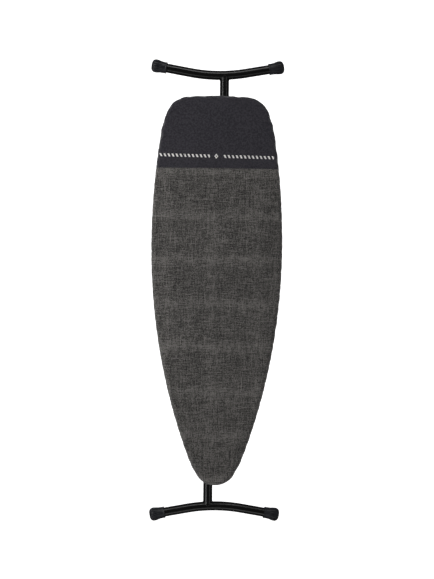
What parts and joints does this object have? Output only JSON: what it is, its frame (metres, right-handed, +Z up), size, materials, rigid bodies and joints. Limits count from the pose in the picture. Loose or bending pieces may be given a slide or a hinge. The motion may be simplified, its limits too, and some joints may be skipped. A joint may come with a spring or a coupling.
{
  "type": "ironing board",
  "caption": "Folding ironing board with a fabric-covered mesh deck, scissor legs with T-shaped feet, rubber foot caps and a notched height lock.",
  "frame": {"origin": "on the floor plane under the middle of the folded board", "axes": "+Z up out of the ironing surface, +Y towards the square tail end, +X to the right seen from above"},
  "size_m": [0.4702, 1.6204, 0.0782],
  "materials": {
    "black_powder_coat": "gloss",
    "cap_rubber": "matte",
    "deck_paint": "satin",
    "zinc_steel": "satin",
    "black_plastic": "matte",
    "felt": "matte",
    "foam": "matte",
    "denim_cloth": "matte",
    "heat_cloth": "matte",
    "hem_cloth": "matte"
  },
  "bodies": {
    "board": {"bush_rivets": "zinc_steel", "cover_denim": "denim_cloth", "cover_heat_zone": "heat_cloth", "cover_hem": "hem_cloth", "cross_brace_hinge": "deck_paint", "cross_brace_middle": "deck_paint", "cross_brace_nose": "deck_paint", "cross_brace_tail": "deck_paint", "felt_pad": "felt", "foam_pad": "foam", "height_rack": "deck_paint", "hinge_bush_left": "black_plastic", "hinge_bush_right": "black_plastic", "mesh_panel": "deck_paint", "outrigger_left": "deck_paint", "outrigger_right": "deck_paint", "rail_end_plugs": "black_plastic", "rail_left": "deck_paint", "rail_right": "deck_paint", "return_spring": "zinc_steel", "rim_tube": "deck_paint", "rod_clips": "black_plastic"},
    "nose_leg": {"nose_leg_tube": "black_powder_coat", "nose_foot_bar": "black_powder_coat", "nose_yoke": "black_powder_coat", "hinge_crossbar": "zinc_steel", "nose_foot_cap_left": "cap_rubber", "nose_foot_cap_right": "cap_rubber", "nose_tube_plug": "black_plastic", "pivot_bolt": "zinc_steel", "pivot_nut": "zinc_steel", "pivot_spacer": "black_plastic"},
    "tail_leg": {"tail_leg_tube": "black_powder_coat", "tail_foot_bar": "black_powder_coat", "tail_yoke": "black_powder_coat", "tail_foot_cap_left": "cap_rubber", "tail_foot_cap_right": "cap_rubber", "tail_tube_plug": "black_plastic", "pivot_bush": "black_plastic"},
    "carriage": {"slide_crossbar": "zinc_steel", "slide_shoe_left": "black_plastic", "slide_shoe_right": "black_plastic", "yoke_retainers": "zinc_steel"},
    "lock_pawl": {"lock_pawl": "zinc_steel"},
    "lever": {"release_rod": "zinc_steel", "release_blade": "deck_paint", "lever_arm": "zinc_steel", "lever_grip": "black_plastic"}
  },
  "joints": [
    {"name": "leg_fold", "type": "hinge", "parent": "board", "child": "nose_leg", "pos_m": [0, 0.379, 0.051], "axis": [1, 0, 0], "range_deg": [0, 51.59]},
    {"name": "cross_pivot", "type": "hinge", "parent": "nose_leg", "child": "tail_leg", "pos_m": [0, 0, 0.023], "axis": [1, 0, 0], "range_deg": [-103.18, 0]},
    {"name": "carriage_pivot", "type": "hinge", "parent": "tail_leg", "child": "carriage", "pos_m": [0, -0.379, 0.051], "axis": [1, 0, 0], "range_deg": [0, 51.59]},
    {"name": "pawl_pivot", "type": "hinge", "parent": "carriage", "child": "lock_pawl", "pos_m": [0, -0.379, 0.051], "axis": [1, 0, 0], "range_deg": [-9, 0]},
    {"name": "release_lever", "type": "hinge", "parent": "board", "child": "lever", "pos_m": [0.08, 0, 0.062], "axis": [0, 1, 0], "range_deg": [0, 18], "stiffness_Nm_per_rad": 0.4, "springref_deg": 28.65}
  ],
  "couplings": [
    {"joint": "cross_pivot", "follows": "leg_fold", "ratio": -2},
    {"joint": "carriage_pivot", "follows": "leg_fold", "ratio": 1},
    {"joint": "pawl_pivot", "follows": "release_lever", "ratio": -0.5}
  ]
}
